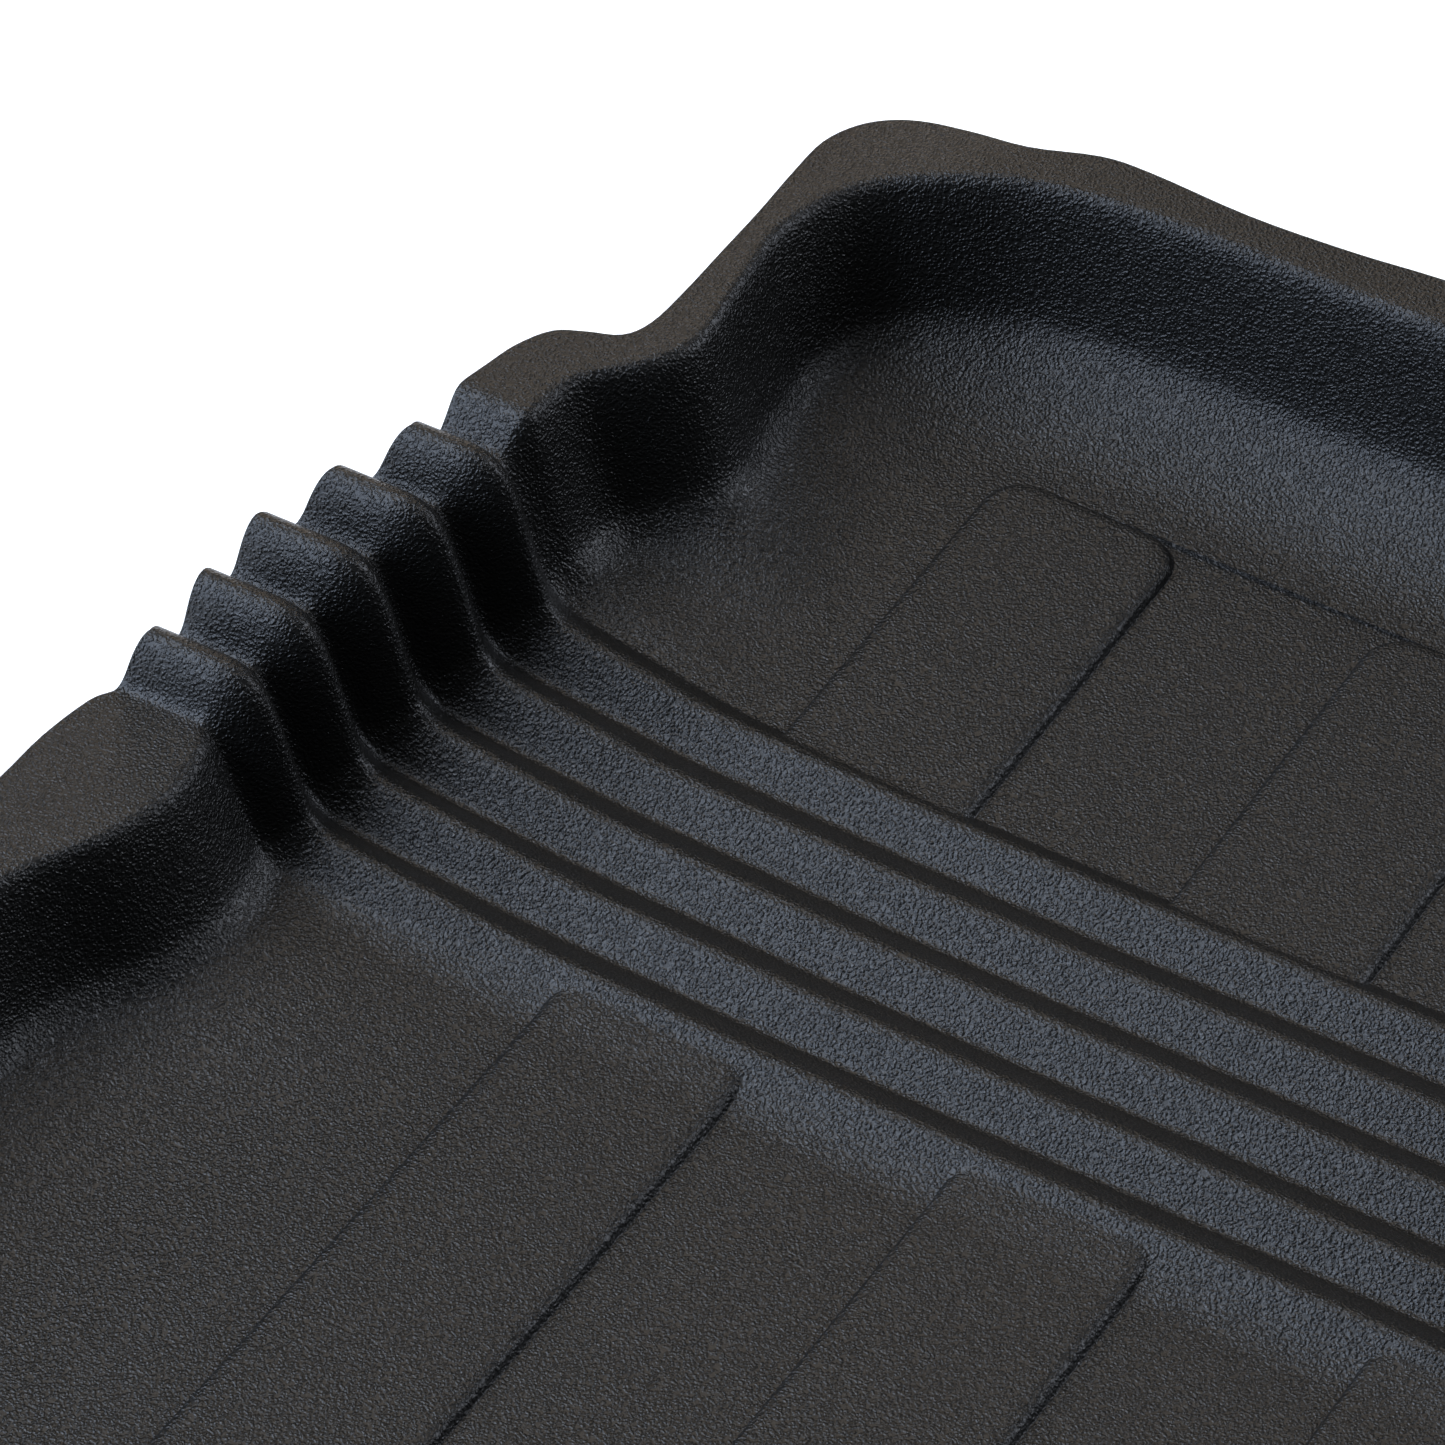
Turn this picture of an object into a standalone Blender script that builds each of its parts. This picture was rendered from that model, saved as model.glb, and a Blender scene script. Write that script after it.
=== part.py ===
"""Folding truck bed liner: a shallow moulded tray with a bellows fold across its floor.

One thin sheet is modelled as half a tray, mirrored and thickened. The floor pads are
raised in it, and it is then parted at the six valleys of the bellows into the rear
tray, five hinge pleats and the front tray.

Axes: X across the bed, +Y towards the short front section, +Z up, metres.
"""

import math

import bmesh
import bpy
from mathutils import Vector

MM = 0.001

# sheet and fold
SHEET = 3.0 * MM                # thickness of the moulded sheet
PITCH = 22.0 * MM               # distance between two valleys of the bellows
PLEATS = 5
FOLD_FRONT_Y = 544.0 * MM       # where the last valley ends
PART_GAP = 0.3 * MM             # space between two neighbouring bodies
FRONT_CUT = 2.0 * MM            # the last parting plane lies this far behind FOLD_FRONT_Y

# heights of the upper face over the valley floor
RIM_REAR = 46.0 * MM
RIM_FOLD = 50.0 * MM            # flange valleys at the front end of the bellows
RIM_FRONT = 58.0 * MM
FRONT_STEP = 2.3 * MM           # front floor over the valley floor
FRONT_RISE = 0.045              # slope of the front floor
CREST_FLOOR = 6.0 * MM          # ridge height on the floor
CREST_RIM = 11.5 * MM           # ridge height on the flange

# floor pads
PAD_COUNT = 8
PAD_WIDTH = 51.4 * MM
PAD_PERIOD = 103.4 * MM
PAD_HEIGHT = 2.7 * MM
PAD_RADIUS = 11.0 * MM
PAD_DRAFT = 0.8 * MM
PAD_ROOT = 1.0 * MM             # how far a pad's solid reaches into the sheet
REAR_PAD = (-1150.0 * MM, -103.0 * MM)   # ends of the rear pads, from FOLD_FRONT_Y
FRONT_PAD = (-10.5 * MM, 99.0 * MM)      # ends of the front pads, from FOLD_FRONT_Y
PAD_LEFT = -(PAD_PERIOD * (PAD_COUNT - 1) + PAD_WIDTH) / 2

# Plan of the left half in millimetres, from the middle of the front edge round to the
# bellows. X counts from a line SIDE, 1.4 mm outside the first pad, Y from FOLD_FRONT_Y.
# Each row holds the trimmed flange edge, the top of the wall and the foot of the cove.
SIDE = -389.0
FRONT_PLAN = [
    ((-SIDE, 167), (-SIDE, 151), (-SIDE, 105)),
    ((300, 167.5), (300, 152), (300, 105)),
    ((230, 165.5), (230, 151), (230, 105)),
    ((160, 168), (160, 152), (160, 105)),
    ((110, 167.8), (110, 152), (110, 105)),
    ((82, 167.6), (82, 152), (84, 105)),
    ((58, 165), (60, 152), (64, 105)),
    ((31, 163), (36, 151.5), (46, 105)),
    ((3, 164), (12, 150), (31, 105)),
    ((-10, 163), (-6, 148), (20, 104.5)),
    ((-27, 157), (-22, 144.5), (9.5, 103.5)),
    ((-42, 156), (-34, 139.5), (1.5, 101.5)),
    ((-54, 155), (-44, 134), (-3.2, 98)),
    ((-62.5, 152), (-52, 128.5), (-5.6, 93)),
    ((-69, 146), (-58, 121), (-6.6, 85)),
    ((-73, 136), (-62, 111), (-7, 75.5)),
    ((-73, 122), (-64, 99), (-7, 65.5)),
    ((-72, 104), (-62.5, 86), (-7, 56)),
    ((-71.5, 86), (-60.5, 72), (-7, 47)),
    ((-71, 68), (-58.5, 59), (-7, 39)),
    ((-71.5, 54), (-59.5, 49), (-6.5, 32)),
    ((-75, 46.5), (-64, 41), (-6, 26)),
    ((-83, 43), (-70, 34), (-5.5, 21)),
    ((-90, 39), (-75, 28), (-5, 16)),
    ((-94.5, 30), (-77, 22), (-5, 12)),
    ((-96.5, 20), (-77.5, 16), (-5, 8)),
    ((-98, 11), (-78, 10), (-5, 4)),
    ((-97.8, 5), (-79, 5), (-5, 0)),
    ((-97.5, 0), (-79.5, 0), (-5, -4)),
]

# The same behind the bellows, round to the middle of the rear edge.
REAR_PLAN = [
    ((-113, -110), (-88, -110), (-5, -110)),
    ((-116, -116), (-85, -117), (-5, -117)),
    ((-118, -131), (-83, -132), (-6, -130)),
    ((-118, -147), (-87, -150), (-10, -146)),
    ((-119, -166), (-96, -168), (-17, -163)),
    ((-119.5, -190), (-101, -188), (-23, -183)),
    ((-120.5, -225), (-102, -220), (-27, -215)),
    ((-119, -420), (-102, -420), (-28, -410)),
    ((-120.5, -680), (-102, -680), (-28, -670)),
    ((-119, -940), (-102, -940), (-28, -920)),
    ((-119.5, -1190), (-102, -1176), (-28, -1140)),
    ((-120, -1222), (-100, -1202), (-26, -1158)),
    ((-116, -1238), (-92, -1220), (-20, -1170)),
    ((-106, -1250), (-78, -1232), (-10, -1177)),
    ((-90, -1255), (-60, -1237), (4, -1180)),
    ((-50, -1255.5), (-30, -1238), (30, -1180)),
    ((150, -1254), (150, -1238), (150, -1180)),
    ((270, -1256), (270, -1238), (270, -1180)),
    ((-SIDE, -1255), (-SIDE, -1238), (-SIDE, -1180)),
]

# Side outlines at the bellows: (Y, flange edge X, wall top X).
FOLD_SIDES = [
    (0, -97.5, -79.5),
    (-11, -97, -80.5),
    (-22, -102.5, -82.5),
    (-33, -104.5, -84.5),
    (-44, -109, -86.5),
    (-55, -111, -88),
    (-66, -112, -89),
    (-77, -111, -89),
    (-88, -111, -89),
    (-99, -110, -88.5),
    (-110, -113, -88),
]
FOLD_FOOT = -5.0                # foot of the cove along the bellows
LAST_CREASE = -4.0              # where the last ridge meets the front floor

# Wall section from flange to floor. Each row: distance in from the wall top (mm, or a
# share of the way left to the foot of the cove), share of the wall height, the ridge
# height's share of the way from floor to flange height, and the ridge direction.
SECTION = [
    ("mm", -3.0, 1.000, 1.00, (0.00, 1.00)),
    ("mm", 0.5, 0.975, 0.95, (0.40, 0.92)),
    ("mm", 4.0, 0.850, 0.75, (0.85, 0.53)),
    ("mm", 8.5, 0.560, 0.60, (0.95, 0.31)),
    ("mm", 12.5, 0.370, 0.50, (0.85, 0.53)),
    ("mm", 20.0, 0.220, 0.35, (0.60, 0.80)),
    ("left", 0.30, 0.110, 0.20, (0.30, 0.95)),
    ("left", 0.65, 0.035, 0.10, (0.00, 1.00)),
    ("left", 1.00, 0.000, 0.00, (0.00, 1.00)),
]
SECTION_REACH = 20.0            # where the "mm" rows end

# Ridge shape over one pitch: (share of the pitch, height on the floor, on the flange).
RIDGE = [
    (1 / 6, 0.34, 0.26),
    (1 / 3, 0.72, 0.76),
    (1 / 2, 1.00, 1.00),
    (2 / 3, 0.72, 0.76),
    (5 / 6, 0.34, 0.26),
    (1.0, 0.00, 0.00),
]

SMOOTH_ANGLE = math.radians(30)


def clear_scene():
    for obj in list(bpy.data.objects):
        bpy.data.objects.remove(obj, do_unlink=True)


def new_collection(name):
    collection = bpy.data.collections.new(name)
    bpy.context.scene.collection.children.link(collection)
    return collection


def between(table, at, column):
    """Straight-line value of a column of FOLD_SIDES at a place along Y."""
    for here, there in zip(table, table[1:]):
        if there[0] <= at <= here[0]:
            share = (here[0] - at) / (here[0] - there[0])
            return here[column] + share * (there[column] - here[column])
    return table[-1][column]


def smooth(share):
    share = min(max(share, 0.0), 1.0)
    return share * share * (3 - 2 * share)


def rim_height(y):
    """Flange height over the valley floor, y in millimetres from FOLD_FRONT_Y."""
    fold_length = PITCH * PLEATS / MM
    if y > 0:
        return RIM_FOLD + (RIM_FRONT - RIM_FOLD) * smooth(y / 11)
    return RIM_FOLD + (RIM_REAR - RIM_FOLD) * smooth(-y / fold_length)


def floor_height(y):
    """Height of the flat floor over the valley floor."""
    if y < LAST_CREASE:
        return 0.0
    return FRONT_STEP + FRONT_RISE * (y - LAST_CREASE) * MM


def station(outer, top, foot, ridge_floor=0.0, ridge_rim=0.0):
    """The points of one section, from the flange edge to the foot of the cove."""
    rim = rim_height(top[1])
    floor = floor_height(foot[1])
    inward = Vector((foot[0] - top[0], foot[1] - top[1]))
    reach = inward.length
    inward.normalize()
    points = [Vector((outer[0], outer[1], (rim + ridge_rim * CREST_RIM) / MM))]
    for kind, along, share, blend, lean in SECTION:
        if kind == "left":
            along = SECTION_REACH + (reach - SECTION_REACH) * along
        height = (floor + (rim - floor) * share) / MM
        crest = CREST_FLOOR + (CREST_RIM - CREST_FLOOR) * blend
        ridge = ridge_floor + (ridge_rim - ridge_floor) * blend
        push = ridge * crest / MM
        x = top[0] + inward.x * along + push * lean[0]
        y = top[1] + inward.y * along
        points.append(Vector((x, y, height + push * lean[1])))
    return points


def all_stations():
    """Sections of the left half, and which of them carry the bellows' floor rows."""
    sections = [station(*row) for row in FRONT_PLAN]
    fold_start = len(sections) - 1
    for pleat in range(PLEATS):
        for share, low, high in RIDGE:
            y = -(pleat + share) * PITCH / MM
            outer = (between(FOLD_SIDES, y, 1), y)
            top = (between(FOLD_SIDES, y, 2), y)
            foot = (FOLD_FOOT, y)
            if pleat == 0 and share < 0.5:
                # the last ridge only falls to the front floor, not to a valley
                down = 1 - 2 * share
                foot = (FOLD_FOOT, LAST_CREASE * down - PITCH / MM / 2 * (1 - down))
                low = 1 - down * (1 - FRONT_STEP / CREST_FLOOR)
            sections.append(station(outer, top, foot, low, high))
    fold_end = len(sections) - 1
    sections += [station(*row) for row in REAR_PLAN[1:]]
    return sections, fold_start, fold_end


def half_sheet(collection):
    """Upper face of the left half as one open surface."""
    sections, fold_start, fold_end = all_stations()
    mesh = bpy.data.meshes.new("liner_sheet")
    bm = bmesh.new()

    def place(point):
        x = (point.x + SIDE) * MM
        y = point.y * MM + FOLD_FRONT_Y
        return bm.verts.new((x, y, point.z * MM + SHEET))

    rows = [[place(point) for point in section] for section in sections]
    for here, there in zip(rows, rows[1:]):
        for column in range(len(here) - 1):
            corners = (here[column], there[column], there[column + 1], here[column + 1])
            bm.faces.new(corners)

    # floor rows of the bellows run to the middle plane
    middle = {}
    for index in range(fold_start, fold_end + 1):
        foot = rows[index][-1].co
        middle[index] = bm.verts.new((0, foot.y, foot.z))
    for index in range(fold_start, fold_end):
        corners = (rows[index][-1], rows[index + 1][-1], middle[index + 1], middle[index])
        bm.faces.new(corners)

    front_floor = [row[-1] for row in rows[: fold_start + 1]] + [middle[fold_start]]
    rear_floor = [middle[fold_end]] + [row[-1] for row in rows[fold_end:]]
    bm.faces.new(front_floor)
    bm.faces.new(rear_floor)
    bm.normal_update()
    bm.to_mesh(mesh)
    bm.free()
    obj = bpy.data.objects.new("liner_sheet", mesh)
    collection.objects.link(obj)
    return obj


def use_modifier(obj, kind, **settings):
    """Add one modifier, set it up and apply it."""
    modifier = obj.modifiers.new(kind.lower(), kind)
    for name, value in settings.items():
        setattr(modifier, name, value)
    bpy.context.view_layer.objects.active = obj
    bpy.ops.object.modifier_apply(modifier=modifier.name)


def rounded_outline(width, length, radius, steps=4):
    """Corner points of a rounded rectangle centred on the origin."""
    points = []
    corners = [(1, 1, 0), (-1, 1, 90), (-1, -1, 180), (1, -1, 270)]
    for side_x, side_y, start in corners:
        middle_x = side_x * (width / 2 - radius)
        middle_y = side_y * (length / 2 - radius)
        for step in range(steps + 1):
            angle = math.radians(start + 90 * step / steps)
            x = middle_x + radius * math.cos(angle)
            y = middle_y + radius * math.sin(angle)
            points.append((x, y))
    return points


def pad_blocks(name, collection, ends, grow, low, high, plane):
    """One solid per pad, joined in one object: a drafted block with rounded corners.

    grow widens the block, low and high are its lower and upper face over the floor,
    and plane is the floor's height and slope at FOLD_FRONT_Y.
    """
    mesh = bpy.data.meshes.new(name)
    bm = bmesh.new()
    length = ends[1] - ends[0] + 2 * grow
    width = PAD_WIDTH + 2 * grow
    middle_y = (ends[0] + ends[1]) / 2
    level, slope = plane
    for pad in range(PAD_COUNT):
        middle_x = PAD_LEFT + PAD_WIDTH / 2 + pad * PAD_PERIOD
        rings = []
        for height, draft in ((low, 0.0), (high, PAD_DRAFT)):
            ring = []
            outline = rounded_outline(
                width - 2 * draft,
                length - 2 * draft,
                PAD_RADIUS + grow - draft,
            )
            for x, y in outline:
                along = middle_y + y
                z = SHEET + level + slope * along + height
                ring.append(bm.verts.new((middle_x + x, FOLD_FRONT_Y + along, z)))
            rings.append(ring)
        bottom, top = rings
        bm.faces.new(top)
        bm.faces.new(list(reversed(bottom)))
        count = len(top)
        for index in range(count):
            after = (index + 1) % count
            bm.faces.new((bottom[index], bottom[after], top[after], top[index]))
    bm.normal_update()
    bm.to_mesh(mesh)
    bm.free()
    obj = bpy.data.objects.new(name, mesh)
    collection.objects.link(obj)
    obj.hide_render = True
    obj.display_type = "WIRE"
    return obj


def raise_pads(sheet, cutters):
    """Raise the pads in the sheet and hollow them from below."""
    front_plane = (FRONT_STEP - FRONT_RISE * LAST_CREASE * MM, FRONT_RISE)
    for label, ends, plane in (
        ("rear", REAR_PAD, (0.0, 0.0)),
        ("front", FRONT_PAD, front_plane),
    ):
        solid = pad_blocks(
            f"{label}_pad_blocks", cutters, ends, 0.0, -PAD_ROOT, PAD_HEIGHT, plane
        )
        use_modifier(sheet, "BOOLEAN", operation="UNION", solver="EXACT", object=solid)
        hollow = pad_blocks(
            f"{label}_pad_hollows",
            cutters,
            ends,
            -SHEET,
            -SHEET - PAD_ROOT,
            PAD_HEIGHT - SHEET,
            plane,
        )
        use_modifier(sheet, "BOOLEAN", operation="DIFFERENCE", solver="EXACT", object=hollow)


def box_between(name, collection, low_y, high_y):
    """A cutter that keeps everything from low_y to high_y."""
    half_width = 0.8
    bpy.ops.mesh.primitive_cube_add(size=1, location=(0, 0, 0))
    obj = bpy.context.object
    obj.name = name
    obj.data.name = name
    for vertex in obj.data.vertices:
        y = low_y if vertex.co.y < 0 else high_y
        z = -0.1 if vertex.co.z < 0 else 0.2
        vertex.co = (math.copysign(half_width, vertex.co.x), y, z)
    for owner in list(obj.users_collection):
        owner.objects.unlink(obj)
    collection.objects.link(obj)
    obj.hide_render = True
    obj.display_type = "WIRE"
    return obj


def moulded_plastic(name, shade):
    material = bpy.data.materials.new(name)
    material.use_nodes = True
    shader = material.node_tree.nodes["Principled BSDF"]
    shader.inputs["Base Color"].default_value = (shade, shade, shade, 1)
    shader.inputs["Roughness"].default_value = 0.5
    material.diffuse_color = (shade, shade, shade, 1)
    return material


def body_from(sheet, name, parts, cutter, pivot, shade):
    """The share of the sheet inside a cutter, with its origin at the pivot."""
    obj = sheet.copy()
    obj.data = sheet.data.copy()
    obj.name = name
    obj.data.name = name
    parts.objects.link(obj)
    use_modifier(obj, "BOOLEAN", operation="INTERSECT", solver="EXACT", object=cutter)
    for vertex in obj.data.vertices:
        vertex.co -= pivot
    obj.location = pivot
    obj.data.materials.clear()
    obj.data.materials.append(moulded_plastic(f"{name}_plastic", shade))
    obj.data.shade_smooth()
    obj.data.set_sharp_from_angle(angle=SMOOTH_ANGLE)
    return obj


def main():
    clear_scene()
    parts = new_collection("truck_bed_liner")
    cutters = new_collection("cutters")

    sheet = half_sheet(cutters)
    use_modifier(
        sheet,
        "MIRROR",
        use_axis=(True, False, False),
        merge_threshold=0.00005,
    )
    use_modifier(sheet, "SOLIDIFY", thickness=SHEET, offset=-1, use_even_offset=True)
    for vertex in sheet.data.vertices:
        # the valleys rest on the floor of the load bed
        vertex.co.z = max(vertex.co.z, 0.0)
    raise_pads(sheet, cutters)

    # parting planes at the valleys, from the rear; the hinge lines lie in them
    planes = [FOLD_FRONT_Y - PITCH * (PLEATS - count) for count in range(PLEATS)]
    planes.append(FOLD_FRONT_Y - FRONT_CUT)
    names = ["rear_tray"]
    names += [f"hinge_pleat_{count + 1}" for count in range(PLEATS)]
    names.append("front_tray")
    far = 1.0
    edges = [-far] + planes + [far]
    for index, name in enumerate(names):
        low = edges[index] + PART_GAP / 2
        high = edges[index + 1] - PART_GAP / 2
        cutter = box_between(f"{name}_keep", cutters, low, high)
        pivot = Vector((0, 0, 0))
        if index:
            level = SHEET + (FRONT_STEP if index == len(names) - 1 else 0.0)
            pivot = Vector((0, planes[index - 1], level))
        shade = 0.030 if index % 2 else 0.022
        body_from(sheet, name, parts, cutter, pivot, shade)
    bpy.data.objects.remove(sheet, do_unlink=True)


main()
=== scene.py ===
import math

import bmesh
import bpy
import numpy as np
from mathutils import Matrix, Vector


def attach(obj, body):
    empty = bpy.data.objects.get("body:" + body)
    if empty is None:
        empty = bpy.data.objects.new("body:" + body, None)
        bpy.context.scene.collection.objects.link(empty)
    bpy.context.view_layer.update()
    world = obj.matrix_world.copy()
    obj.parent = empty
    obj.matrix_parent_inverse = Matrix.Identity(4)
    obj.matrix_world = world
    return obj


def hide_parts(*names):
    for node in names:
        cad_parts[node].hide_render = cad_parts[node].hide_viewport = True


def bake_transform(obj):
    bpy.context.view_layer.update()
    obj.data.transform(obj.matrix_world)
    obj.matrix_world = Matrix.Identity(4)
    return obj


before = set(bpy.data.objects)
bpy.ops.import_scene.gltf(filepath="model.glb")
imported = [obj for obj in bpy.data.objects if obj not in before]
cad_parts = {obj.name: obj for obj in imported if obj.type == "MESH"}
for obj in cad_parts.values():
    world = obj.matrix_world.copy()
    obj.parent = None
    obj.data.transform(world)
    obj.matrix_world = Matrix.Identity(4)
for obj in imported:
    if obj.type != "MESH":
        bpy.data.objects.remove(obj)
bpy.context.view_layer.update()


# --- The moulded sheet ---
# The liner is one sheet of black polyethylene, 3 mm thick, softened and drawn over a
# mould. Its left half is laid out here as sections from the trimmed flange edge down
# the wall and the cove to the floor, and then mirrored.

MM = 0.001
SHEET = 3.0                     # thickness
PITCH = 22.0                    # from valley to valley of the bellows
FOLD_FRONT_Y = 544.0            # Y of the bellows' front valley, the plan's Y zero
FIRST_PAD = -389.0              # X of the plan's X zero, just beside the first pad
RIM_REAR = 46.0
RIM_FOLD = 50.0
RIM_FRONT = 58.0
FRONT_STEP = 2.3                # front floor over the valleys of the bellows
FRONT_RISE = 0.045              # slope of the front floor
CREASE_Y = -4.0                 # where the front ridge meets the front floor
CREST_FLOOR = 6.0
CREST_RIM = 11.5

# Flange edge, wall top and foot of the cove, from the middle of the front edge round
# to the bellows. X and Y count from the plan's zeros.
FRONT_PLAN = [
    ((-FIRST_PAD, 167), (-FIRST_PAD, 151), (-FIRST_PAD, 105)),
    ((300, 167.5), (300, 152), (300, 105)),
    ((230, 165.5), (230, 151), (230, 105)),
    ((160, 167.5), (160, 152), (160, 105)),
    ((110, 167.8), (110, 152), (110, 105)),
    ((82, 167.6), (82, 152), (84, 105)),
    ((58, 165), (60, 152), (64, 105)),
    ((31, 163), (36, 151.5), (46, 105)),
    ((3, 164), (12, 150), (31, 105)),
    ((-10, 163), (-6, 148), (20, 104.5)),
    ((-27, 157), (-22, 144.5), (9.5, 103.5)),
    ((-42, 156), (-34, 139.5), (1.5, 101.5)),
    ((-54, 155), (-44, 134), (-3.2, 98)),
    ((-62.5, 152), (-52, 128.5), (-5.6, 93)),
    ((-69, 146), (-58, 121), (-6.6, 85)),
    ((-73, 136), (-62, 111), (-7, 75.5)),
    ((-73, 122), (-64, 99), (-7, 65.5)),
    ((-72, 104), (-62.5, 86), (-7, 56)),
    ((-71.5, 86), (-60.5, 72), (-7, 47)),
    ((-71, 68), (-58.5, 59), (-7, 39)),
    ((-71.5, 54), (-59.5, 49), (-6.5, 32)),
    ((-75, 46.5), (-64, 41), (-6, 26)),
    ((-83, 43), (-70, 34), (-5.5, 21)),
    ((-90, 39), (-75, 28), (-5, 16)),
    ((-94.5, 30), (-77, 22), (-5, 12)),
    ((-96.5, 20), (-77.5, 16), (-5, 8)),
    ((-98, 11), (-78, 10), (-5, 4)),
    ((-97.8, 5), (-79, 5), (-5, 0)),
    ((-97.5, 0), (-79.5, 0), (-5, CREASE_Y)),
]
# the same from the bellows round to the middle of the rear edge
REAR_PLAN = [
    ((-113, -110), (-88, -110), (-5, -110)),
    ((-116, -116), (-85, -117), (-5, -117)),
    ((-118, -131), (-83, -132), (-6, -130)),
    ((-118, -147), (-87, -150), (-10, -146)),
    ((-119, -166), (-96, -168), (-17, -163)),
    ((-119.5, -190), (-101, -188), (-23, -183)),
    ((-120, -225), (-102, -220), (-27, -215)),
    ((-120, -290), (-102, -285), (-27.5, -278)),
    ((-119, -420), (-102, -420), (-28, -410)),
    ((-120, -680), (-102, -680), (-28, -670)),
    ((-119, -940), (-102, -940), (-28, -920)),
    ((-119.5, -1120), (-102, -1112), (-28, -1085)),
    ((-119.5, -1190), (-102, -1176), (-28, -1140)),
    ((-120, -1222), (-100, -1202), (-26, -1158)),
    ((-116, -1238), (-92, -1220), (-20, -1170)),
    ((-106, -1250), (-78, -1232), (-10, -1177)),
    ((-90, -1255), (-60, -1237), (4, -1180)),
    ((-50, -1255.5), (-30, -1238), (30, -1180)),
    ((150, -1254), (150, -1238), (150, -1180)),
    ((270, -1255), (270, -1238), (270, -1180)),
    ((-FIRST_PAD, -1255), (-FIRST_PAD, -1238), (-FIRST_PAD, -1180)),
]
# Y, flange edge X and wall top X along the bellows
FOLD_SIDES = np.array([
    (-110, -113, -88),
    (-99, -110, -88.5),
    (-88, -111, -89),
    (-77, -111, -89),
    (-66, -112, -89),
    (-55, -111, -88),
    (-44, -109, -86.5),
    (-33, -104.5, -84.5),
    (-22, -102.5, -82.5),
    (-11, -97, -80.5),
    (0, -97.5, -79.5),
])
FOLD_FOOT = -5.0
# in from the wall top (mm, then share of what is left), share of the wall's height,
# how far the ridges have grown to their flange height, and which way they stand
SECTION = np.array([
    (-3.0, 0, 1.000, 1.00, 0.00),
    (-1.0, 0, 0.996, 0.98, 0.20),
    (0.6, 0, 0.975, 0.95, 0.45),
    (2.0, 0, 0.935, 0.86, 0.68),
    (4.0, 0, 0.840, 0.75, 0.85),
    (6.2, 0, 0.705, 0.67, 0.93),
    (8.5, 0, 0.560, 0.60, 0.95),
    (10.6, 0, 0.432, 0.55, 0.92),
    (12.8, 0, 0.332, 0.50, 0.85),
    (16.2, 0, 0.264, 0.42, 0.72),
    (20.0, 0, 0.212, 0.35, 0.60),
    (20.0, 0.15, 0.157, 0.27, 0.44),
    (20.0, 0.33, 0.105, 0.19, 0.26),
    (20.0, 0.55, 0.055, 0.10, 0.10),
    (20.0, 0.78, 0.018, 0.03, 0.03),
    (20.0, 1.00, 0.000, 0.00, 0.00),
])
FLANGE_STEPS = 4
SECTION_STEPS = 3


def spline(rows, counts):
    """Catmull-Rom curve through rows, with counts[i] steps between rows i and i + 1."""
    rows = np.asarray(rows, float)
    ends = np.vstack([2 * rows[0] - rows[1], rows, 2 * rows[-1] - rows[-2]])
    made = []
    for index, count in enumerate(counts):
        a, b, c, d = ends[index : index + 4]
        for t in np.arange(count) / count:
            made.append(
                0.5
                * (
                    2 * b
                    + (c - a) * t
                    + (2 * a - 5 * b + 4 * c - d) * t * t
                    + (3 * b - 3 * c + d - a) * t**3
                )
            )
    made.append(rows[-1])
    return np.array(made)


def ease(t):
    """A soft step from 0 to 1 as t goes from 0 to 1."""
    t = np.clip(t, 0.0, 1.0)
    return t * t * (3 - 2 * t)


def rim_height(y):
    """Height of the flange over the valleys, which steps up to the front tray."""
    if y > 0:
        return RIM_FOLD + (RIM_FRONT - RIM_FOLD) * float(ease(y / 11))
    return RIM_FOLD + (RIM_REAR - RIM_FOLD) * float(ease(-y / (5 * PITCH)))


def ridge(y, crest_round, valley_round):
    """Height of the bellows' ridge at Y, from 0 in a valley to 1 on a crest."""
    down = abs(2 * ((-y / PITCH) % 1.0) - 1)
    rise = 1 - down
    if down < crest_round:
        rise = 1 - (down * down / (2 * crest_round) + crest_round / 2)
    elif 1 - down < valley_round:
        rise = (1 - down) ** 2 / (2 * valley_round) + valley_round / 2
    return (rise - valley_round / 2) / (1 - crest_round / 2 - valley_round / 2)


# behind the rearmost crest the ridge runs out in a long hollow curve
REAR_CREST_Y = -4.5 * PITCH
RUN_OUT = 18.0                  # length of the hollow curve
CREST_ROUND = 2.4               # and of the rounding where it leaves the crest
run = np.linspace(0, RUN_OUT, 73)
slope = np.minimum(run / CREST_ROUND, 1.0) * (1 - run / RUN_OUT) ** 0.8
run_out = 1 - np.cumsum(slope) / np.sum(slope)


def floor_ridge(y):
    """Height of the ridge at the floor, where it has a sharp crest."""
    if y < REAR_CREST_Y:
        return float(np.interp(REAR_CREST_Y - y, run, run_out))
    return ridge(y, 0.22, 0.12)


def rim_ridge(y):
    """The same at the flange, where the sheet is drawn over soft round ribs."""
    return ridge(y, 0.60, 0.35)


section = spline(SECTION, [SECTION_STEPS] * (len(SECTION) - 1))


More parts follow.
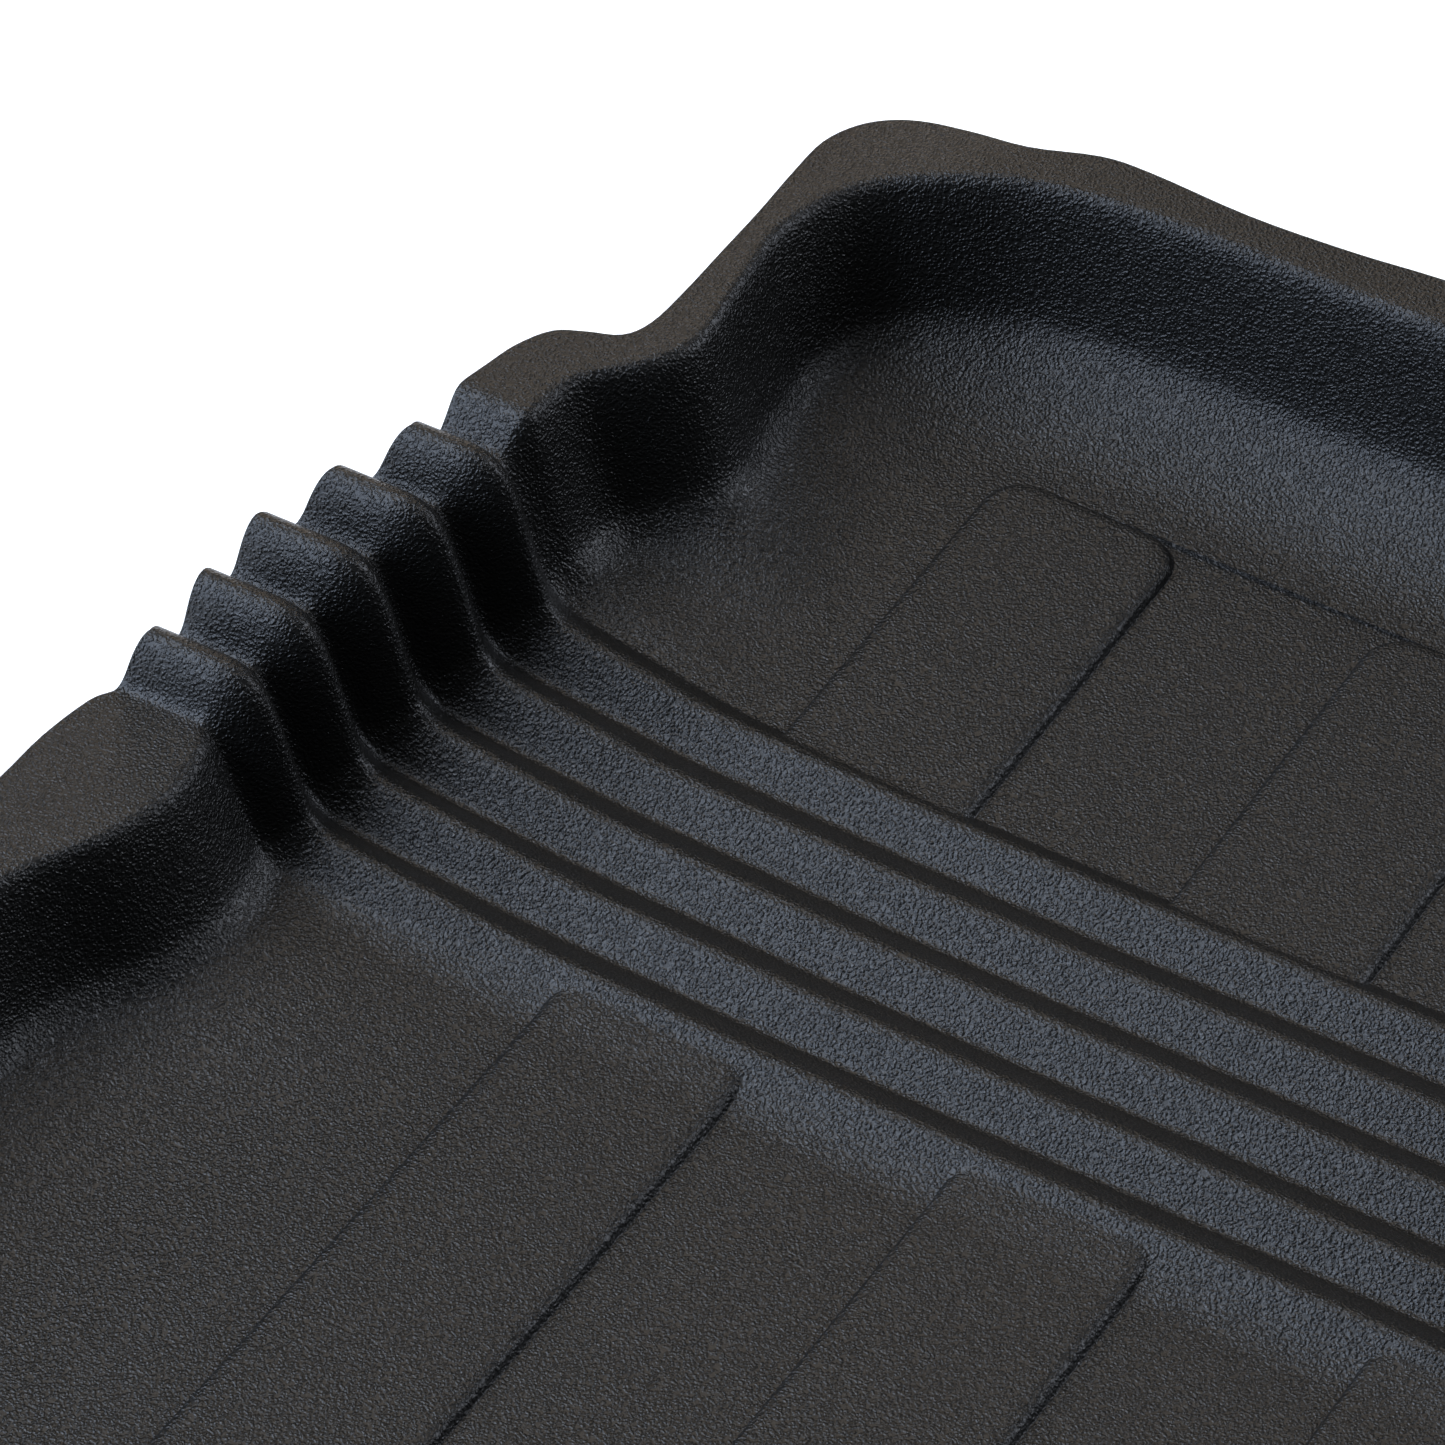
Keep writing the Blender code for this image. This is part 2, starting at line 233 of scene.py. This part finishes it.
def across(row, floor=0.0, low=0.0, high=0.0):
    """Points from the flange edge to the foot of the cove, in mm.

    low and high are how far up its ridge the row lies, at the floor and at the flange.
    """
    outer, top, foot = (np.array(part, float) for part in (row[:2], row[2:4], row[4:]))
    rim = rim_height(top[1])
    reach = np.linalg.norm(foot - top)
    inward = (foot - top) / reach
    points = []
    for distance, share, height, grown, lean in section:
        along = distance + (reach - distance) * share
        push = (low + (high - low) * grown) * (
            CREST_FLOOR + (CREST_RIM - CREST_FLOOR) * grown
        )
        up = math.sqrt(max(0.0, 1 - lean * lean))
        x, y = top + inward * along
        z = floor + (rim - floor) * height
        points.append((x + push * lean, y, z + push * up))
    first = np.array(points[0])
    edge = np.array((outer[0], outer[1], first[2]))
    flange = [edge + (first - edge) * n / FLANGE_STEPS for n in range(FLANGE_STEPS)]
    return np.vstack([flange, points])


def facing(rows):
    """Unit normals of a smooth surface given as rows of points."""
    along = np.gradient(rows, axis=0)
    inward = np.gradient(rows, axis=1)
    normals = np.cross(along, inward)
    return normals / np.linalg.norm(normals, axis=2, keepdims=True)


def plan_rows(plan):
    """Each station's three points in one row of numbers."""
    return np.array([[*outer, *top, *foot] for outer, top, foot in plan], float)


front_steps = [5, 5, 5, 4] + [4] * 22 + [4, 6]
front_rows = spline(plan_rows(FRONT_PLAN), front_steps)
rear_steps = [10, 4, 4, 4, 4, 4, 3, 5, 6, 6, 6, 4] + [5] * 5 + [5, 3, 3]
rear_rows = spline(plan_rows(REAR_PLAN), rear_steps)
SEAM_FRONT = len(front_rows) - 1 - 6        # the front tray ends at this row
SEAM_REAR = 10                              # and the rear tray starts at this one

sections = []
smooth_sections = []                        # the same without the bellows' ridges
strips = []                                 # which piece lies between a row and the next
for index, row in enumerate(front_rows):
    floor = FRONT_STEP + FRONT_RISE * (row[5] - CREASE_Y)
    sections.append(across(row, floor=floor))
    smooth_sections.append(sections[-1])
    strips.append(7 if index < SEAM_FRONT else 6)
FOLD_STEPS = 28                             # rows per pitch of the bellows
for step in range(1, 5 * FOLD_STEPS + 1):
    turn = step / FOLD_STEPS
    y = -turn * PITCH
    foot_y = y
    if turn < 0.5:
        foot_y = CREASE_Y * (1 - 2 * turn) - PITCH * turn
    outer_x = np.interp(y, FOLD_SIDES[:, 0], FOLD_SIDES[:, 1])
    top_x = np.interp(y, FOLD_SIDES[:, 0], FOLD_SIDES[:, 2])
    row = (outer_x, y, top_x, y, FOLD_FOOT, foot_y)
    sections.append(across(row, low=floor_ridge(foot_y), high=rim_ridge(y)))
    smooth_sections.append(across(row))
    strips.append(max(1, min(6, 6 - math.floor(turn + 0.5))))
for index, row in enumerate(rear_rows[1:]):
    sections.append(across(row, low=floor_ridge(row[5])))
    smooth_sections.append(across(row))
    strips.append(1 if index + 1 < SEAM_REAR else 0)
FOLD_START = len(front_rows) - 1
FOLD_END = FOLD_START + 5 * FOLD_STEPS
strips[FOLD_START] = 6
strips[FOLD_END] = 1


# --- Floor pads ---
# Long raised pads with round ends stiffen the floor and let water run between them.
# They are drawn in the same sheet, so they are part of its floor and not laid on it.

PAD_COUNT = 8
PAD_START = 1.4                 # X of the first pad's left edge from the zero line
PAD_PERIOD = 103.4
PAD_WIDTH = 51.4
PAD_HEIGHT = 2.7
PAD_RADIUS = 11.0
REAR_PAD = (-1150.0, -98.5)
FRONT_PAD = (-60.0, 99.0)       # its rear end is hidden in the front ridge
EDGE_LINES = [-0.4, 0, 0.15, 0.3, 0.45, 0.6, 0.75, 0.9, 1.1, 1.3, 1.6, 2, 2.5, 3.2, 4, 5]
SOFTNESS = 0.5                  # rounds the line where a pad runs into a ridge
# the rear pads gain this share of their height as they climb the ridge's run-out
PAD_CLIMB = 0.5
CLIMB_START = -118.0

# a pad's profile: fillet, steep side, then a shoulder rounded much more softly
PAD_IN = [0, 0.15, 0.3, 0.45, 0.6, 0.75, 0.9, 1.1, 1.3, 1.6, 2, 2.5, 3.2, 4, 5]
PAD_UP = [0, 0.1, 0.4, 0.82, 1.18, 1.47, 1.7, 1.92, 2.07, 2.22, 2.36, 2.48, 2.59, 2.67]
PAD_UP.append(PAD_HEIGHT)


def pad_height(x, y, ends):
    """Height of the pads over the floor at X and Y."""
    turned = (x - FIRST_PAD - PAD_START + PAD_PERIOD / 2) % PAD_PERIOD - PAD_PERIOD / 2
    off_x = abs(turned - PAD_WIDTH / 2) - (PAD_WIDTH / 2 - PAD_RADIUS)
    off_y = abs(y - sum(ends) / 2) - ((ends[1] - ends[0]) / 2 - PAD_RADIUS)
    outside = math.hypot(max(off_x, 0.0), max(off_y, 0.0))
    inside = PAD_RADIUS - outside - min(max(off_x, off_y), 0.0)
    climb = 0.0
    if ends == REAR_PAD:
        climb = PAD_CLIMB * float(ease((y - CLIMB_START) / RUN_OUT))
    return float(np.interp(inside, PAD_IN, PAD_UP)) * (1 + climb)


def floor_height(x, y):
    """Height of the floor, its ridges and its pads over the valleys, in mm."""
    if y > -PITCH / 2 - 0.01:
        plane = FRONT_STEP + FRONT_RISE * (y - CREASE_Y)
        base = CREST_FLOOR * floor_ridge(y) - plane if y < CREASE_Y else 0.0
        ends = FRONT_PAD
    else:
        plane = 0.0
        base = CREST_FLOOR * floor_ridge(y)
        ends = REAR_PAD
    pad = pad_height(x, y, ends)
    soft = SOFTNESS * min(1.0, max(0.0, min(base, pad)))
    return plane + 0.5 * (base + pad + math.sqrt((base - pad) ** 2 + soft * soft))


def grid_lines(corner_step):
    """X of the floor's grid lines: close together over every pad edge and corner."""
    lines = {0.0}
    corner = list(np.arange(EDGE_LINES[-1] + corner_step, PAD_RADIUS + 1, corner_step))
    for pad in range(PAD_COUNT // 2):
        left = FIRST_PAD + PAD_START + pad * PAD_PERIOD
        for inward in EDGE_LINES + corner:
            lines.add(round(left + inward, 3))
            lines.add(round(left + PAD_WIDTH - inward, 3))
    return sorted(lines)


FINE = grid_lines(0.5)
PLAIN = grid_lines(1.2)
# the bellows' middle pieces have no pads
FEW = list(np.linspace(FIRST_PAD + PAD_START + EDGE_LINES[0], 0.0, 9))
# Y of the grid lines over the flat floors: close together where the pads' ends are round
front_ys = [1.2, 2.6, 5, 30, 60, 84] + list(np.arange(86.5, 99.4, 0.5)) + [99.4]
rear_ys = [-125, -250, -400, -550, -700, -850, -1000, -1120]
rear_ys += list(np.arange(-1135.5, -1150.1, -1.2)) + [-1150.4]

bm = bmesh.new()
strip_layer = bm.faces.layers.int.new("strip")
normal_layer = bm.verts.layers.float_vector.new("facing")
trim_layer = bm.verts.layers.int.new("trimmed")

FLOOR_LIFT = 3.2
LIFT_FROM, LIFT_WIDTH = -75.0, 50.0     # inward from the plan's X zero
SINK_FROM, SINK_WIDTH = -15.0, 95.0


def lift(x):
    """The floor is not quite flat: it lifts a little before it turns up into the cove."""
    inside = -FIRST_PAD - abs(x)
    rise = ease((inside - LIFT_FROM) / LIFT_WIDTH)
    return FLOOR_LIFT * float(rise - ease((inside - SINK_FROM) / SINK_WIDTH))


def sheet_vertex(x, y, z, normal=(0, 0, 1)):
    """A vertex of the upper face, which remembers which way the underside lies."""
    place = (x * MM, (y + FOLD_FRONT_Y) * MM, (z + SHEET + lift(x)) * MM)
    vertex = bm.verts.new(place)
    vertex[normal_layer] = Vector(normal)
    return vertex


def sheet_face(corners, strip):
    """A face of the upper face, marked with the piece it will belong to."""
    face = bm.faces.new(corners)
    face[strip_layer] = strip
    face.smooth = True
    return face


rings = []
for points, normals in zip(sections, facing(np.array(smooth_sections))):
    normals[-1] = (0, 0, 1)
    rings.append(
        [sheet_vertex(p[0] + FIRST_PAD, p[1], p[2], n) for p, n in zip(points, normals)]
    )
    rings[-1][0][trim_layer] = 1
for index, (here, there) in enumerate(zip(rings, rings[1:])):
    for column in range(len(here) - 1):
        corners = (here[column], there[column], there[column + 1], here[column + 1])
        sheet_face(corners, strips[index])


def floor_rows(ys, lines, strip, beside=None):
    """A block of floor grid. beside holds the ring vertices at the same Ys."""
    block = [[sheet_vertex(x, y, floor_height(x, y)) for x in lines] for y in ys]
    for row, after in zip(block, block[1:]):
        for column in range(len(lines) - 1):
            corners = (row[column], after[column], after[column + 1], row[column + 1])
            sheet_face(corners, strip)
    if beside:
        for n in range(len(ys) - 1):
            sheet_face((beside[n], beside[n + 1], block[n + 1][0], block[n][0]), strip)
    return block


def feet(first, last):
    """The vertices at the foot of the cove, from ring first to ring last."""
    return [rings[index][-1] for index in range(first, last + 1)]


def ys_of(vertices):
    """Their Ys as the plan counts them, in mm."""
    return [vertex.co.y / MM - FOLD_FRONT_Y for vertex in vertices]


# the bellows, piece by piece from the front tray back to the rear tray
half = FOLD_STEPS // 2
breaks = [SEAM_FRONT, FOLD_START + half]
breaks += [FOLD_START + half + FOLD_STEPS * n for n in range(1, 5)]
breaks.append(FOLD_END + SEAM_REAR)
for number, (first, last) in zip((6, 5, 4, 3, 2, 1), zip(breaks, breaks[1:])):
    beside = feet(first, last)
    lines = FINE if number in (1, 6) else FEW
    floor_rows(ys_of(beside), lines, number, beside)

# the flat floors, each a grid over the pads and one flat face round it
front_block = floor_rows(front_ys[::-1] + [0.0], FINE, 7)
front_edge = feet(0, SEAM_FRONT)
border = [row[0] for row in reversed(front_block)] + front_block[0][1:]
sheet_face(front_edge + border, 7)
rear_block = floor_rows([-117.0] + rear_ys, PLAIN, 0)
rear_edge = feet(FOLD_END + SEAM_REAR, len(rings) - 1)
border = rear_block[-1][::-1] + [row[0] for row in reversed(rear_block[:-1])]
sheet_face(rear_edge + border, 0)

WELD = 0.00002                  # vertices closer than this are one
bmesh.ops.remove_doubles(bm, verts=bm.verts, dist=WELD)
half_sheet = bpy.data.meshes.new("half_sheet")
bm.to_mesh(half_sheet)
bm.free()


# --- The sheet's pieces ---
# The trays are stiff and keep their shape. Between them the bellows bends in each of
# its six valleys, so it is parted along its crests, where the sheet stays unbent.

TRIM_ROUND = 0.4                # the router leaves the cut edge slightly rounded


def use_modifier(obj, kind, **settings):
    """Add one modifier, set it up and apply it."""
    modifier = obj.modifiers.new(kind.lower(), kind)
    for name, value in settings.items():
        setattr(modifier, name, value)
    bpy.context.view_layer.objects.active = obj
    bpy.ops.object.modifier_apply(modifier=modifier.name)


def piece_of(name, strip):
    """One strip of the sheet with its thickness, mirrored and closed."""
    bm = bmesh.new()
    bm.from_mesh(half_sheet)
    layer = bm.faces.layers.int["strip"]
    others = [face for face in bm.faces if face[layer] != strip]
    bmesh.ops.delete(bm, geom=others, context="FACES")
    normal = bm.verts.layers.float_vector["facing"]
    trimmed = bm.verts.layers.int["trimmed"]
    rounded = bm.edges.layers.float.new("bevel_weight_edge")
    upper = list(bm.faces)
    rims = [
        edge.link_loops[0]
        for edge in bm.edges
        if edge.is_boundary and max(abs(v.co.x) for v in edge.verts) > 0.00001
    ]
    under = {v: bm.verts.new(v.co - v[normal] * SHEET * MM) for v in list(bm.verts)}
    for face in upper:
        made = bm.faces.new([under[v] for v in reversed(face.verts)])
        made.smooth = True
    for loop in rims:
        here, there = loop.vert, loop.link_loop_next.vert
        made = bm.faces.new((there, here, under[here], under[there]))
        for edge in made.edges:
            edge.smooth = False
        if here[trimmed] and there[trimmed]:
            made.edges[0][rounded] = 1.0
            made.edges[2][rounded] = 1.0
    data = bpy.data.meshes.new(name)
    bm.to_mesh(data)
    bm.free()
    obj = bpy.data.objects.new(name, data)
    bpy.context.collection.objects.link(obj)
    use_modifier(obj, "MIRROR", use_axis=(True, False, False), merge_threshold=WELD)
    use_modifier(
        obj, "BEVEL", limit_method="WEIGHT", width=TRIM_ROUND * MM, segments=2
    )
    return obj


bpy.ops.object.select_all(action="DESELECT")
rear_tray = piece_of("rear_tray_sheet", 0)
folds = [piece_of(f"fold_sheet_{number}", number) for number in range(1, 7)]
front_tray = piece_of("front_tray_sheet", 7)


# --- Black polyethylene, moulded with a leather grain ---
# The mould's etched hair-cell grain leaves rounded cells of just under 1 mm with fine
# creases between them. The cells' tops are a little glossier than the creases.

CELLS_PER_METRE = 1300.0        # a cell every 0.8 mm
CELL_DRIFT = 0.0012             # the most that a cell is pushed aside
CELL_UNEVEN = 0.5               # how much the cells differ in height
CELL_RELIEF = 0.0002            # depth of the grain


def linear(hex_code):
    """An sRGB hex colour as the linear values that Blender takes."""
    parts = [int(hex_code[n : n + 2], 16) / 255 for n in (1, 3, 5)]
    parts = [p / 12.92 if p <= 0.04045 else ((p + 0.055) / 1.055) ** 2.4 for p in parts]
    return (*parts, 1.0)


def node(tree, kind, links=None, **settings):
    """Add a node. Names that are sockets set them, other names set properties."""
    made = tree.nodes.new(kind)
    for name, value in settings.items():
        if hasattr(made, name):
            setattr(made, name, value)
    for name, value in settings.items():
        if not hasattr(made, name):
            made.inputs[name.replace("_", " ")].default_value = value
    for socket, source in (links or {}).items():
        tree.links.new(source, made.inputs[socket])
    return made


plastic = bpy.data.materials.new("black_polyethylene_haircell")
plastic.use_nodes = True
tree = plastic.node_tree
shader = tree.nodes["Principled BSDF"]
place = node(tree, "ShaderNodeTexCoord")
drift = node(
    tree, "ShaderNodeTexNoise", {"Vector": place.outputs["Object"]}, Scale=900.0, Detail=2.0
)
drifted = node(
    tree,
    "ShaderNodeVectorMath",
    {0: drift.outputs["Color"], 2: place.outputs["Object"]},
    operation="MULTIPLY_ADD",
)
drifted.inputs[1].default_value = (CELL_DRIFT, CELL_DRIFT, CELL_DRIFT)
cells = node(
    tree,
    "ShaderNodeTexVoronoi",
    {"Vector": drifted.outputs[0]},
    feature="SMOOTH_F1",
    Scale=CELLS_PER_METRE,
    Smoothness=0.6,
)
# 1 in the middle of a cell and 0 in the creases
tops = node(
    tree,
    "ShaderNodeMapRange",
    {"Value": cells.outputs["Distance"]},
    interpolation_type="SMOOTHSTEP",
    From_Min=0.75,
    From_Max=0.1,
)
uneven = node(
    tree,
    "ShaderNodeMath",
    {0: drift.outputs["Fac"], 2: tops.outputs["Result"]},
    operation="MULTIPLY_ADD",
)
uneven.inputs[1].default_value = CELL_UNEVEN
bump = node(
    tree,
    "ShaderNodeBump",
    {"Height": uneven.outputs["Value"]},
    Strength=1.0,
    Distance=CELL_RELIEF,
)
gloss = node(
    tree,
    "ShaderNodeMapRange",
    {"Value": tops.outputs["Result"]},
    To_Min=0.4,
    To_Max=0.28,
)
shader.inputs["Base Color"].default_value = linear("#0e0e0d")
shader.inputs["IOR"].default_value = 1.52
shader.inputs["Specular IOR Level"].default_value = 0.35
tree.links.new(gloss.outputs["Result"], shader.inputs["Roughness"])
tree.links.new(bump.outputs["Normal"], shader.inputs["Normal"])

for piece in [rear_tray, front_tray, *folds]:
    piece.data.materials.clear()
    piece.data.materials.append(plastic)

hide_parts("rear_tray")
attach(rear_tray, "rear_tray")
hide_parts("front_tray")
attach(front_tray, "front_tray")
# how far behind and in front of each valley the real sheet bends
BEND_BEHIND = [6.0, 9.0, 9.0, 9.0, 9.0, 10.0]
BEND_AHEAD = [9.0, 9.0, 9.0, 9.0, 9.0, -0.5]
for number, piece in enumerate(folds, start=1):
    valley = FOLD_FRONT_Y - PITCH * (6 - number)
    first = valley - BEND_BEHIND[number - 1]
    last = valley + BEND_AHEAD[number - 1]
    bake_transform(piece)
    if number < 6:
        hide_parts(f"hinge_pleat_{number}")


# --- Studio ---
# A white table that glows a little, under large cool soft boxes from the left and
# weaker warm ones from behind.

bpy.ops.object.select_all(action="DESELECT")
bpy.ops.mesh.primitive_plane_add(size=30, location=(0, 0, -0.0005))
table = bpy.context.object
table.name = "studio_floor"
white = bpy.data.materials.new("white_paper_matt")
white.use_nodes = True
paper = white.node_tree.nodes["Principled BSDF"].inputs
paper["Base Color"].default_value = linear("#f8f8f8")
paper["Roughness"].default_value = 0.9
paper["Emission Color"].default_value = linear("#ffffff")
paper["Emission Strength"].default_value = 0.4
table.data.materials.append(white)

world = bpy.data.worlds.new("studio")
bpy.context.scene.world = world
world.use_nodes = True
sky = world.node_tree.nodes["Background"].inputs
sky["Color"].default_value = linear("#ffffff")
sky["Strength"].default_value = 0.05

LIT_PLACE = Vector((-0.3, 0.5, 0.0))        # the left front corner, where the lights aim
LIGHT_DISTANCE = 3.0


def soft_light(name, height, turn, size, power, colour):
    """A square soft box aimed at LIT_PLACE, height degrees up, turned from +X to +Y."""
    data = bpy.data.lights.new(name, "AREA")
    data.shape = "SQUARE"
    data.size = size
    data.energy = power
    data.color = linear(colour)[:3]
    lamp = bpy.data.objects.new(name, data)
    bpy.context.collection.objects.link(lamp)
    up, around = math.radians(height), math.radians(turn)
    toward = Vector(
        (math.cos(up) * math.cos(around), math.cos(up) * math.sin(around), math.sin(up))
    )
    lamp.location = LIT_PLACE + toward * LIGHT_DISTANCE
    lamp.rotation_euler = toward.to_track_quat("Z", "Y").to_euler()


soft_light("key_left", 35, 202, 2.2, 72, "#d0e3ff")
soft_light("key_right", 31, 234, 1.3, 42, "#d8e6ff")
soft_light("key_high", 60, 200, 1.6, 56, "#e4eeff")
soft_light("window_high", 60, 120, 1.6, 11, "#fff2e6")
soft_light("window_warm", 46, 118, 1.2, 5.5, "#ffe4c0")
soft_light("window_side", 56, 150, 1.2, 8, "#fff4e8")
soft_light("low_back", 10, 125, 1.2, 7, "#ffe9d2")
soft_light("low_right", 28, 50, 1.4, 44, "#eaf1ff")

camera_data = bpy.data.cameras.new("camera")
camera = bpy.data.objects.new("camera", camera_data)
bpy.context.collection.objects.link(camera)
camera.location = (0.2353, -0.5001, 1.1122)
CAMERA_TURN = math.radians(31.61)
CAMERA_DROP = math.radians(42.24)
camera.rotation_euler = (math.pi / 2 - CAMERA_DROP, 0, CAMERA_TURN)
camera_data.sensor_width = 36
camera_data.lens = 174.394
camera_data.clip_end = 100
bpy.context.scene.camera = camera
bpy.context.scene.view_settings.view_transform = "Standard"
